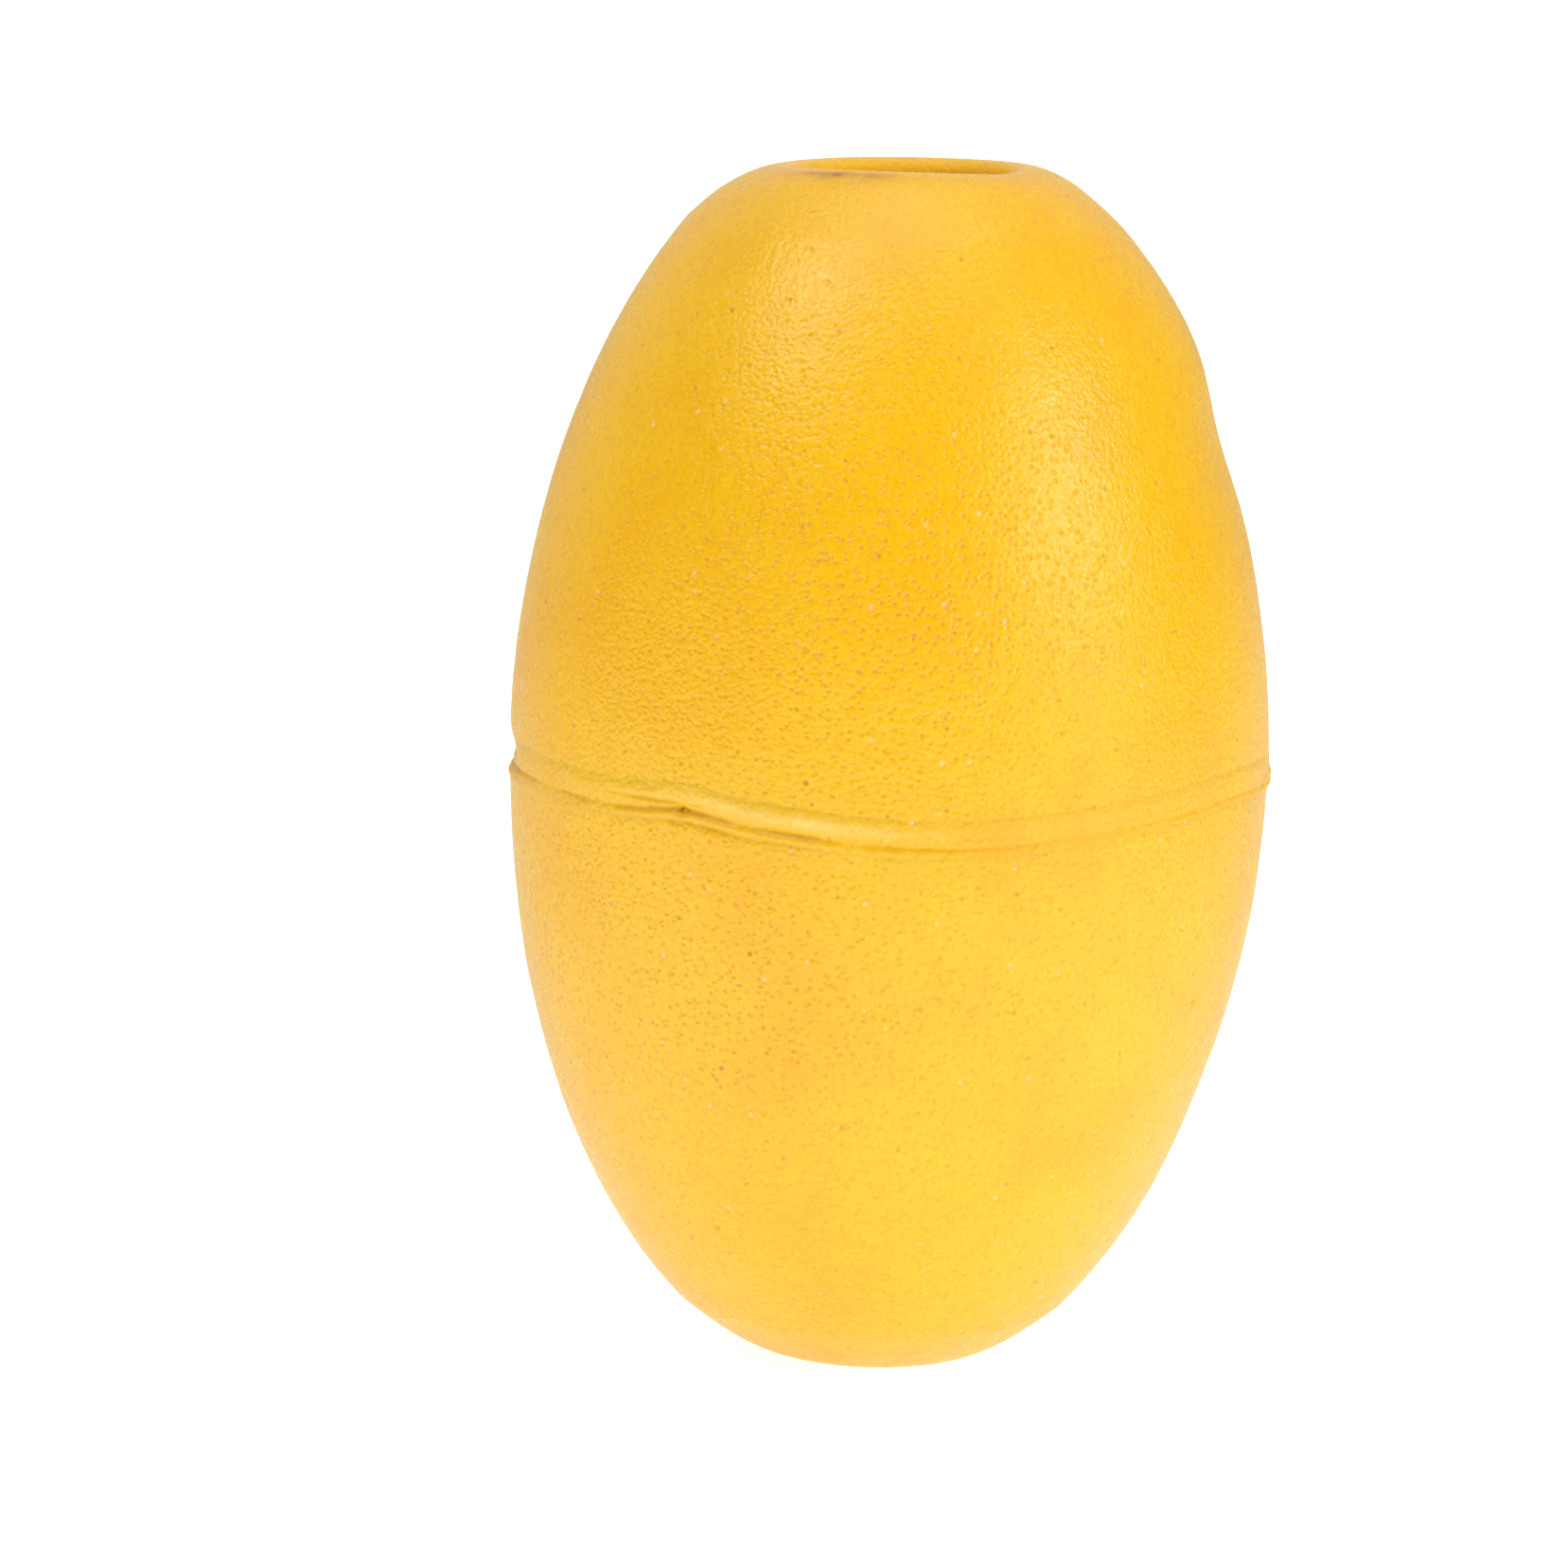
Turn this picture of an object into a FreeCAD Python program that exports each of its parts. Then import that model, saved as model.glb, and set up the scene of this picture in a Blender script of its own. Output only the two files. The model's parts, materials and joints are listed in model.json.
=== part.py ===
import FreeCAD, Part
import math
import os

import Sketcher

# Net float, millimetres: two moulded halves of closed-cell foam, welded together at the waist.
# A rope passes through the bore. The origin is the centre of the lower end face, with +Z up
# the bore.
#
# Each half's flank is a quarter-ellipse centred on the axis at the waist plane. The outer
# edges of the two halves are bevelled where they meet, and the bead of melted foam fills the
# V between the bevels and stands a little proud of the flank.

# alias, value, what it is
DIMENSIONS = (
    ("upper_height", 50.0, "waist plane to the upper end face"),
    ("lower_height", 50.0, "waist plane to the lower end face"),
    ("waist_diameter", 63.0, "widest diameter, at the waist plane"),
    ("upper_end_diameter", 26.0, "where the flank meets the upper end face, before rounding"),
    ("lower_end_diameter", 25.0, "where the flank meets the lower end face, before rounding"),
    ("end_round", 3.0, "radius between the flank and each end face"),
    ("bore_diameter", 17.0, "through bore for the rope"),
    ("mouth_round", 2.0, "radius between the bore and each end face"),
    ("weld_depth", 0.9, "how far the V of the weld reaches in from the flank"),
    ("weld_reach", 1.3, "how far the V opens above and below the waist plane"),
    ("weld_crown", 0.25, "how far the bead stands proud of the waist"),
)

# The rounding of a mouth takes at most this share of the wall between the bore and the flank.
MOUTH_SHARE = 0.5

# Ends of a sketch's line or arc, and its centre, as Sketcher numbers them.
START, END, CENTRE = 1, 2, 3
# The sketch's own origin and horizontal axis, as Sketcher numbers them.
ORIGIN = (-1, 1)
HORIZONTAL_AXIS = -1

MATCH = 1e-4  # how closely an edge's radius or height must match to be picked
UP, DOWN = 1, -1


def new_sheet(doc):
    """The spreadsheet of driving dimensions: name, value and meaning on each row."""
    sheet = doc.addObject("Spreadsheet::Sheet", "sizes")
    for row, (alias, value, meaning) in enumerate(DIMENSIONS, start=1):
        sheet.set(f"A{row}", alias)
        sheet.set(f"B{row}", str(value))
        sheet.set(f"C{row}", meaning)
        sheet.setAlias(f"B{row}", alias)
    doc.recompute()
    return sheet


def new_body(doc, label):
    body = doc.addObject("PartDesign::Body", label)
    body.Label = label
    body.Placement = FreeCAD.Placement()
    return body


def new_sketch(body, name, plane_role):
    """A sketch on one of the body's own origin planes."""
    plane = next(item for item in body.Origin.OriginFeatures if item.Role == plane_role)
    sketch = body.newObject("Sketcher::SketchObject", name)
    sketch.AttachmentSupport = (plane, [""])
    sketch.MapMode = "FlatFace"
    return sketch


def new_waist_sketch(body, name):
    """An upright sketch through the axis, with its origin at the waist plane."""
    sketch = new_sketch(body, name, "XZ_Plane")
    sketch.setExpression("AttachmentOffset.Base.y", "sizes.lower_height")
    return sketch


def dimension(sketch, kind, name, expression, *places):
    """A named dimension of the sketch, bound to the sheet."""
    value = sketch.evalExpression(expression)
    index = sketch.addConstraint(Sketcher.Constraint(kind, *places, value))
    sketch.renameConstraint(index, name)
    sketch.setExpression(f"Constraints.{name}", expression)


def join(sketch, *pairs):
    """Joins pairs of (geometry, end) points."""
    for first, second in pairs:
        sketch.addConstraint(Sketcher.Constraint("Coincident", *first, *second))


def point(radius, height):
    return FreeCAD.Vector(radius, height, 0)


def line(sketch, start, end):
    return sketch.addGeometry(Part.LineSegment(point(*start), point(*end)))


def revolve(body, sketch, name, kind="PartDesign::Revolution"):
    """A full turn of the sketch about the axis: material, or a cut for a Groove."""
    feature = body.newObject(kind, name)
    feature.Profile = sketch
    feature.ReferenceAxis = (sketch, ["V_Axis"])
    feature.Angle = 360.0
    sketch.Visibility = False
    return feature


def ring_edges(shape, radius, height):
    """Names of the shape's round edges about the axis, of that radius and at that height."""
    names = []
    for number, edge in enumerate(shape.Edges, start=1):
        if not isinstance(edge.Curve, Part.Circle):
            continue
        same_radius = abs(edge.Curve.Radius - radius) < MATCH
        same_height = abs(edge.Curve.Center.z - height) < MATCH
        if same_radius and same_height:
            names.append(f"Edge{number}")
    if not names:
        raise RuntimeError(f"no round edge of radius {radius} at height {height}")
    return names


def round_edge(body, name, radius, height, expression):
    """A fillet on the body's round edge of that radius and height."""
    base = body.Tip
    fillet = body.newObject("PartDesign::Fillet", name)
    fillet.Base = (base, ring_edges(base.Shape, radius, height))
    fillet.setExpression("Radius", expression)
    body.Document.recompute()


def flank_semi_axis(height, end_radius, waist_radius):
    """Upright semi-axis of the ellipse that meets the end face at its radius."""
    return height / math.sqrt(1 - (end_radius / waist_radius) ** 2)


def draw_flank(sketch, side, height, end_radius, waist_radius):
    """The half's outline: waist line, quarter-ellipse flank, end line and axis.

    The ellipse's centre is the sketch's origin and its long axis is the sketch's vertical
    one, so the two places that it passes through, the waist and the end, fix its shape.
    """
    long_axis = flank_semi_axis(height, end_radius, waist_radius)
    ellipse = Part.Ellipse(point(0, long_axis), point(-waist_radius, 0), point(0, 0))
    at_waist = ellipse.parameter(point(waist_radius, 0))
    at_end = ellipse.parameter(point(end_radius, side * height))
    waist_end, end_end = (START, END) if side == UP else (END, START)
    flank = sketch.addGeometry(Part.ArcOfEllipse(ellipse, *sorted((at_waist, at_end))))
    sketch.exposeInternalGeometry(flank)
    long_line = flank + 1

    waist = line(sketch, (0, 0), (waist_radius, 0))
    end = line(sketch, (end_radius, side * height), (0, side * height))
    axis = line(sketch, (0, side * height), (0, 0))
    join(
        sketch,
        ((flank, CENTRE), ORIGIN),
        ((waist, START), ORIGIN),
        ((waist, END), (flank, waist_end)),
        ((flank, end_end), (end, START)),
        ((end, END), (axis, START)),
        ((axis, END), ORIGIN),
    )
    sketch.addConstraint(Sketcher.Constraint("Vertical", long_line))
    sketch.addConstraint(Sketcher.Constraint("Horizontal", waist))
    sketch.addConstraint(Sketcher.Constraint("Horizontal", end))
    sketch.addConstraint(Sketcher.Constraint("Vertical", axis))
    return waist, end, axis


def add_flank(body, side, height_alias, end_alias, sizes):
    """The half before it is bored: a solid of revolution from the waist to the end face."""
    sketch = new_waist_sketch(body, f"{body.Label}_outline")
    height = sizes[height_alias]
    end_radius = sizes[end_alias] / 2
    waist, end, axis = draw_flank(sketch, side, height, end_radius, sizes["waist_diameter"] / 2)
    dimension(sketch, "Distance", "waist_radius", "sizes.waist_diameter / 2", waist)
    dimension(sketch, "Distance", "end_radius", f"sizes.{end_alias} / 2", end)
    dimension(sketch, "Distance", "flank_height", f"sizes.{height_alias}", axis)
    revolve(body, sketch, f"{body.Label}_flank")
    body.Document.recompute()


def add_bore(body):
    """The rope's bore, cut upwards from below the half and through all of it."""
    sketch = new_sketch(body, f"{body.Label}_bore_circle", "XY_Plane")
    circle = sketch.addGeometry(Part.Circle(point(0, 0), FreeCAD.Vector(0, 0, 1), 1.0))
    join(sketch, ((circle, CENTRE), ORIGIN))
    dimension(sketch, "Diameter", "bore_diameter", "sizes.bore_diameter", circle)
    bore = body.newObject("PartDesign::Pocket", f"{body.Label}_bore")
    bore.Profile = sketch
    bore.Type = "ThroughAll"
    bore.Reversed = True
    sketch.Visibility = False
    body.Document.recompute()


def add_weld_bevel(body, side, sizes):
    """The bevel on the outer edge at the waist: half of the V that the bead fills."""
    sketch = new_waist_sketch(body, f"{body.Label}_bevel_outline")
    waist_radius = sizes["waist_diameter"] / 2
    root = (waist_radius - sizes["weld_depth"], 0)
    corner = (waist_radius, 0)
    lip = (waist_radius, side * sizes["weld_reach"])
    across = line(sketch, root, corner)
    upright = line(sketch, corner, lip)
    slope = line(sketch, lip, root)
    join(
        sketch,
        ((across, END), (upright, START)),
        ((upright, END), (slope, START)),
        ((slope, END), (across, START)),
    )
    sketch.addConstraint(Sketcher.Constraint("PointOnObject", across, END, HORIZONTAL_AXIS))
    sketch.addConstraint(Sketcher.Constraint("Horizontal", across))
    sketch.addConstraint(Sketcher.Constraint("Vertical", upright))
    dimension(sketch, "Distance", "weld_depth", "sizes.weld_depth", across)
    dimension(sketch, "Distance", "weld_reach", "sizes.weld_reach", upright)
    waist_place = (*ORIGIN, across, END)
    dimension(sketch, "DistanceX", "waist_radius", "sizes.waist_diameter / 2", *waist_place)
    revolve(body, sketch, f"{body.Label}_bevel", "PartDesign::Groove")
    body.Document.recompute()


def mouth_radius(end_alias):
    """The mouth's rounding: the sheet's value, or less where the end's wall is thin."""
    wall = f"(sizes.{end_alias} - sizes.bore_diameter) / 2"
    return f"min(sizes.mouth_round; {MOUTH_SHARE} * {wall})"


def make_half(doc, label, side, sizes):
    """One half of the float, from the waist plane up or down to its end face."""
    name = "upper" if side == UP else "lower"
    height_alias, end_alias = f"{name}_height", f"{name}_end_diameter"
    end_height = sizes["lower_height"] + side * sizes[height_alias]
    body = new_body(doc, label)
    add_flank(body, side, height_alias, end_alias, sizes)
    whole = body.Shape.Volume
    add_bore(body)
    expect_cut(label, whole - body.Shape.Volume, bore_volume(sizes, sizes[height_alias]))
    round_edge(body, f"{label}_end_round", sizes[end_alias] / 2, end_height, "sizes.end_round")
    mouth = mouth_radius(end_alias)
    round_edge(body, f"{label}_mouth_round", sizes["bore_diameter"] / 2, end_height, mouth)
    rounded = body.Shape.Volume
    add_weld_bevel(body, side, sizes)
    expect_cut(label, rounded - body.Shape.Volume, bevel_volume(sizes))
    return body


def make_weld_bead(doc, sizes):
    """The ring of melted foam: it fills the V between the halves, with a bowed outer face."""
    body = new_body(doc, "weld_bead")
    sketch = new_waist_sketch(body, "weld_bead_outline")
    waist_radius = sizes["waist_diameter"] / 2
    reach = sizes["weld_reach"]
    root = (waist_radius - sizes["weld_depth"], 0)
    top, bottom = (waist_radius, reach), (waist_radius, -reach)
    crown = (waist_radius + sizes["weld_crown"], 0)
    upper = line(sketch, root, top)
    lower = line(sketch, bottom, root)
    face = sketch.addGeometry(Part.Arc(point(*bottom), point(*crown), point(*top)))
    join(
        sketch,
        ((upper, END), (face, END)),
        ((face, START), (lower, START)),
        ((lower, END), (upper, START)),
    )
    sketch.addConstraint(Sketcher.Constraint("PointOnObject", upper, START, HORIZONTAL_AXIS))
    ends = (face, START, face, END)
    sketch.addConstraint(Sketcher.Constraint("Symmetric", *ends, HORIZONTAL_AXIS))
    dimension(sketch, "DistanceY", "weld_width", "2 * sizes.weld_reach", *ends)
    place = (*ORIGIN, face, END)
    dimension(sketch, "DistanceX", "waist_radius", "sizes.waist_diameter / 2", *place)
    place = (upper, START, upper, END)
    dimension(sketch, "DistanceX", "weld_depth", "sizes.weld_depth", *place)
    bow = "(sizes.weld_reach ^ 2 + sizes.weld_crown ^ 2) / (2 * sizes.weld_crown)"
    dimension(sketch, "Radius", "bow_radius", bow, face)
    revolve(body, sketch, "weld_bead_ring")
    doc.recompute()
    return body


def bore_volume(sizes, height):
    return math.pi * (sizes["bore_diameter"] / 2) ** 2 * height


def bevel_volume(sizes):
    """Volume of a turned right triangle: its area times the way round at its centroid."""
    area = sizes["weld_depth"] * sizes["weld_reach"] / 2
    centroid = sizes["waist_diameter"] / 2 - sizes["weld_depth"] / 3
    return area * 2 * math.pi * centroid


def expect_cut(label, removed, expected):
    """A cut that points away from the solid removes nothing and shows no error."""
    if abs(removed - expected) > 0.02 * expected:
        raise RuntimeError(f"{label}: a cut took {removed:.1f} mm3, not {expected:.1f}")


def check_document(doc, bodies):
    """Stops on any failed object, and on a sub-part that isn't one valid solid."""
    for item in doc.Objects:
        if "Invalid" in item.State or "Error" in item.State:
            raise RuntimeError(f"{item.Label}: {item.State}")
    for body in bodies:
        shape = body.Shape
        if shape.isNull() or not shape.isValid() or len(shape.Solids) != 1:
            raise RuntimeError(f"{body.Label}: its shape isn't one valid solid")


def export(bodies):
    os.makedirs("parts", exist_ok=True)
    for body in bodies:
        body.Shape.exportStep(os.path.join("parts", f"{body.Label}.step"))
        box = body.Shape.optimalBoundingBox()
        print(
            f"{body.Label}: {body.Shape.Volume / 1000:.2f} cm3, "
            f"{box.XLength:.2f} x {box.YLength:.2f} x {box.ZLength:.2f} mm, "
            f"z {box.ZMin:.2f} to {box.ZMax:.2f}"
        )


def main():
    doc = FreeCAD.newDocument("net_float")
    sheet = new_sheet(doc)
    sizes = {alias: float(sheet.get(alias)) for alias, _, _ in DIMENSIONS}
    bodies = [
        make_half(doc, "lower_half", DOWN, sizes),
        make_half(doc, "upper_half", UP, sizes),
        make_weld_bead(doc, sizes),
    ]
    doc.recompute()
    check_document(doc, bodies)
    export(bodies)


main()
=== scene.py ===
"""Net float: two moulded halves of closed-cell foam, joined at the waist by a weld bead.

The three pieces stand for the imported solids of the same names. Each is one closed surface,
worked out on a grid of two parameters: the way round the axis, and the way along a closed
outline of the piece's wall. Sizes are in millimetres in the classes and become metres when a
mesh is made. Angles round the axis start at the front, the -Y side, and grow towards +X.
"""

from __future__ import annotations

import json
import logging
import math
from dataclasses import dataclass
from enum import Enum
from typing import Any

import bpy
import numpy as np
from bpy.types import Material, NodeSocket, NodeTree
from mathutils import Matrix, Vector


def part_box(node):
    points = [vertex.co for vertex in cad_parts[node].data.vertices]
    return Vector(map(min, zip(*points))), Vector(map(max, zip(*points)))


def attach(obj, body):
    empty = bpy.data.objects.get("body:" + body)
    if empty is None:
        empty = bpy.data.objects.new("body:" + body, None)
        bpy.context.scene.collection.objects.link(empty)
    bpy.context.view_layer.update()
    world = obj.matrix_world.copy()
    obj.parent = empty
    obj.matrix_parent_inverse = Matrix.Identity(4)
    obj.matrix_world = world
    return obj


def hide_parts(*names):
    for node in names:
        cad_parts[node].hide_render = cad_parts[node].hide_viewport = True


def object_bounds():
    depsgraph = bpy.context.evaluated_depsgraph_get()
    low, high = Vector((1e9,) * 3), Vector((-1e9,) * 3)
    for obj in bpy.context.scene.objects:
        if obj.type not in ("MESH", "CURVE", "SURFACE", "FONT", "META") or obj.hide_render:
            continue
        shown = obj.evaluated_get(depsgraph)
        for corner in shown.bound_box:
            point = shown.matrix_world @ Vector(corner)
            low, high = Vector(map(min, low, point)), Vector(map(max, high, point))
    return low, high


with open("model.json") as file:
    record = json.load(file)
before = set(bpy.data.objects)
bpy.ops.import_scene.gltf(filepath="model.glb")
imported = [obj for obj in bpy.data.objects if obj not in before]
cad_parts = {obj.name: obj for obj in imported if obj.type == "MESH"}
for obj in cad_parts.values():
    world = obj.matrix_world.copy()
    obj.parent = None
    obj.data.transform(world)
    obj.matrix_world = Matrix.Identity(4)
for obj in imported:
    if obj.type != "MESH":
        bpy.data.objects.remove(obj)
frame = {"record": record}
CAD_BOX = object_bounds()

LOG = logging.getLogger("net_float")
MM = 0.001
EDGE_GUARD = 0.015  # a row this near to a sharp edge keeps smooth shading off it, in mm


class Side(Enum):
    """Which half of the float: the sign is the way from the waist to the half's end."""

    UPPER = 1
    LOWER = -1


# ---------------------------------------------------------------------------------------
# Form
# ---------------------------------------------------------------------------------------


def turn_between(angles: np.ndarray, middle: float) -> np.ndarray:
    """Shortest signed turn from the middle angle to each angle, in degrees."""
    return (np.asarray(angles) - middle + 180.0) % 360.0 - 180.0


def bell(values: np.ndarray, middle: float, spread: float) -> np.ndarray:
    """Bell curve of height one: e to the power of minus the squared distance in spreads."""
    return np.exp(-(((values - middle) / spread) ** 2))


def bell_round(angles: np.ndarray, middle: float, spread: float) -> np.ndarray:
    """Bell curve round the axis, over the shortest turn from the middle angle."""
    return bell(turn_between(angles, middle), 0.0, spread)


def smooth_step(values: np.ndarray, low: float, high: float) -> np.ndarray:
    """Zero below low, one above high, and the cubic 3t^2 - 2t^3 between them."""
    t = np.clip((values - low) / (high - low), 0.0, 1.0)
    return t * t * (3.0 - 2.0 * t)


@dataclass(frozen=True)
class Swell:
    """A soft local rise of the flank or of a paint value, or a hollow where it is negative.

    It falls off as a bell curve both round the axis and up the flank, where an endless
    spread keeps it the same at every height.
    """

    angle: float
    height: float
    spread_angle: float
    spread_height: float
    rise: float

    def over(self, angles: np.ndarray, heights: np.ndarray) -> np.ndarray:
        """Rise in millimetres at each angle (degrees) and height (millimetres)."""
        around = bell_round(angles, self.angle, self.spread_angle)
        return self.rise * around * bell(heights, self.height, self.spread_height)


@dataclass(frozen=True)
class Wave:
    """A bell-shaped change along the seam: its middle, its spread in degrees, and its size."""

    angle: float
    spread: float
    size: float


def summed(waves: tuple[Wave, ...], angles: np.ndarray) -> np.ndarray:
    """Sum of the waves' bell curves at each angle."""
    return sum(w.size * bell_round(angles, w.angle, w.spread) for w in waves)


@dataclass(frozen=True)
class Ripple:
    """Evenly random unevenness: a sum of plane waves in random directions through space.

    The longest waves are the highest: each wave's height goes as its length to a power.
    """

    count: int
    shortest: float
    longest: float
    height: float
    seed: int
    steepness: float = 1.0

    def over(self, points: np.ndarray) -> np.ndarray:
        """Sum of cos(k.p + shift) over the waves, for points in millimetres.

        Args:
            points: array whose last axis is x, y, z.

        Returns:
            Millimetres, one for each point.
        """
        draw = np.random.default_rng(self.seed)
        total = np.zeros(points.shape[:-1])
        for _ in range(self.count):
            way = draw.normal(size=3)
            way /= np.linalg.norm(way)
            length = math.exp(draw.uniform(math.log(self.shortest), math.log(self.longest)))
            shift = draw.uniform(0.0, 2.0 * math.pi)
            size = (length / self.longest) ** self.steepness
            total += size * np.cos(points @ (way * 2.0 * math.pi / length) + shift)
        return self.height * total / math.sqrt(self.count)


@dataclass(frozen=True)
class Seam:
    """The line where the halves meet, and the double roll of melted foam along it.

    The line wanders up and down. An offset is a height above the line: the roll's upper
    edge is at upper_edge, its lower one at lower_edge, and the deep crease between its two
    rolls is at zero.
    """

    upper_edge: float = 2.2
    lower_edge: float = -0.95
    crease_spread: float = 0.24
    edge_spread: float = 0.3
    wander: tuple[Wave, ...] = (
        Wave(8, 24, -1.1),
        Wave(-31, 8, 0.6),
        Wave(63, 19, 0.7),
        Wave(-92, 15, -0.85),
        Wave(150, 34, 0.6),
        Wave(-148, 26, -0.5),
    )
    crease_depth: tuple[Wave, ...] = (
        Wave(-30, 26, 0.19),
        Wave(-82, 16, 0.24),
        Wave(12, 20, 0.05),
        Wave(-62, 5, -0.08),
        Wave(-46, 4, -0.1),
        Wave(-31, 2.5, 0.1),
        Wave(-21, 3, -0.1),
        Wave(-13, 3, 0.06),
        Wave(-5, 3, -0.1),
        Wave(4, 4, 0.05),
        Wave(62, 30, 0.03),
        Wave(180, 70, 0.2),
    )
    upper_roll: tuple[Wave, ...] = (
        Wave(-12, 14, 0.24),
        Wave(32, 28, 0.02),
        Wave(-46, 16, 0.08),
        Wave(140, 45, 0.22),
        Wave(-140, 30, 0.2),
    )
    lower_roll: tuple[Wave, ...] = (
        Wave(-20, 25, 0.1),
        Wave(93, 12, 0.2),
        Wave(170, 60, 0.12),
    )
    edge_depth: tuple[Wave, ...] = (
        Wave(-2, 20, 0.02),
        Wave(58, 26, 0.02),
        Wave(180, 60, 0.05),
    )
    lower_edge_depth: tuple[Wave, ...] = (Wave(-27, 13, 0.1), Wave(180, 60, 0.04))
    # The seam's brown is painted shade: it grows with each crease's depth, and a paler band of it
    # lies below the crease.
    shade_full_depth: float = 0.3  # a crease as deep as this is brown all through
    shade_offset: float = -0.05
    shade_below: float = 0.26  # the paler brown that spreads below the crease
    shade_below_offset: float = -1.1
    shade_below_spread: float = 1.2
    upper_edge_shade: float = 1.5  # how brown the edge's crease is, for each millimetre of depth
    upper_edge_shade_spread: float = 0.25
    lower_edge_shade: float = 4.0
    lower_edge_shade_spread: float = 0.2

    def height(self, angles: np.ndarray) -> np.ndarray:
        """How far the seam lies above the waist plane at each angle, in millimetres."""
        return summed(self.wander, angles)

    def relief(self, angles: np.ndarray, offsets: np.ndarray) -> np.ndarray:
        """Height of the rolls and creases over the flank, in millimetres.

        Each roll is 16 t^2 (1 - t)^2 for the share t of the way from the crease to its
        edge, so it runs out level there. Each crease is a narrow bell-shaped cut.

        Args:
            angles: degrees round the axis.
            offsets: millimetres above the seam line.

        Returns:
            Millimetres outwards, of the arrays' common shape.
        """
        above = np.clip(offsets / self.upper_edge, 0.0, 1.0)
        below = np.clip(offsets / self.lower_edge, 0.0, 1.0)
        rolls = summed(self.upper_roll, angles) * (4.0 * above * (1.0 - above)) ** 2
        rolls = rolls + summed(self.lower_roll, angles) * (4.0 * below * (1.0 - below)) ** 2
        crease = summed(self.crease_depth, angles) * bell(offsets, 0.0, self.crease_spread)
        upper = bell(offsets, self.upper_edge, self.edge_spread)
        lower = bell(offsets, self.lower_edge, self.edge_spread)
        edges = summed(self.edge_depth, angles) * upper
        return rolls - crease - edges - summed(self.lower_edge_depth, angles) * lower

    @property
    def middle(self) -> float:
        """Offset halfway between the roll's edges, where the halves meet inside."""
        return (self.upper_edge + self.lower_edge) / 2.0

    def shade(self, angles: np.ndarray, offsets: np.ndarray) -> np.ndarray:
        """How much painted shade the seam gets, from 0 to 1: most in the creases, some beneath
        them.
        """
        crease = summed(self.crease_depth, angles) / self.shade_full_depth
        core = bell(offsets, self.shade_offset, self.crease_spread)
        core = core + self.shade_below * bell(offsets, self.shade_below_offset, self.shade_below_spread)
        upper = self.upper_edge_shade * summed(self.edge_depth, angles)
        upper = upper * bell(offsets, self.upper_edge, self.upper_edge_shade_spread)
        lower = self.lower_edge_shade * summed(self.lower_edge_depth, angles)
        lower = lower * bell(offsets, self.lower_edge, self.lower_edge_shade_spread)
        return np.clip(crease * core + upper + lower, 0.0, 1.0)


@dataclass(frozen=True)
class EndShape:
    """A blunt end: where flank and face would meet, how far up the flank its rounding
    starts, and the radius of the crest, which is the highest circle round the mouth."""

    corner: float
    reach: float
    crest: float


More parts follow.
